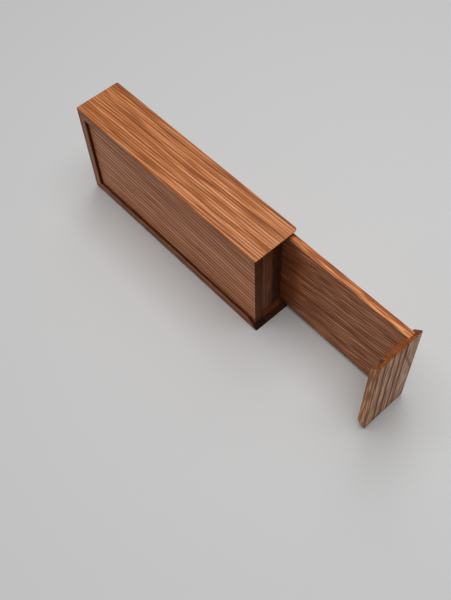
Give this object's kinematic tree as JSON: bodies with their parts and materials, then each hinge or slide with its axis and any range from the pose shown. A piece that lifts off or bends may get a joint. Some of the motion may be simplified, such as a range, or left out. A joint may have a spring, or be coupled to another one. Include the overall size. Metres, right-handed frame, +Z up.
{
  "type": "sliding lid wooden box",
  "caption": "Slim mitred oak box whose end board leaves with its sliding lid, closed behind by a fixed panel and inside by an end wall.",
  "frame": {"origin": "middle of the closed box's footprint, on the underside of the lower side board", "axes": "+X along the box towards the end board that leaves with the lid, +Y from the fixed panel towards the lid, +Z up"},
  "size_m": [0.3135, 0.0408, 0.0918],
  "materials": {
    "side_board_oak": "warm reddish stain under a satin oil finish, straight open grain along the board",
    "end_board_oak": "warm reddish stain under a satin oil finish, grain across the box",
    "panel_oak": "warm reddish stain under a satin oil finish, grain along the box",
    "inner_wall_oak": "warm reddish stain under a satin oil finish, darker and less worn"
  },
  "bodies": {
    "box": {"upper_side_board": "side_board_oak", "lower_side_board": "side_board_oak", "fixed_end_board": "end_board_oak", "fixed_panel": "panel_oak", "inner_end_wall": "inner_wall_oak"},
    "lid": {"lid_panel": "panel_oak", "lid_end_board": "end_board_oak"}
  },
  "joints": [
    {"name": "lid_slide", "type": "slide", "parent": "box", "child": "lid", "axis": [1, 0, 0], "range_m": [-0.1102, 0.092]}
  ]
}
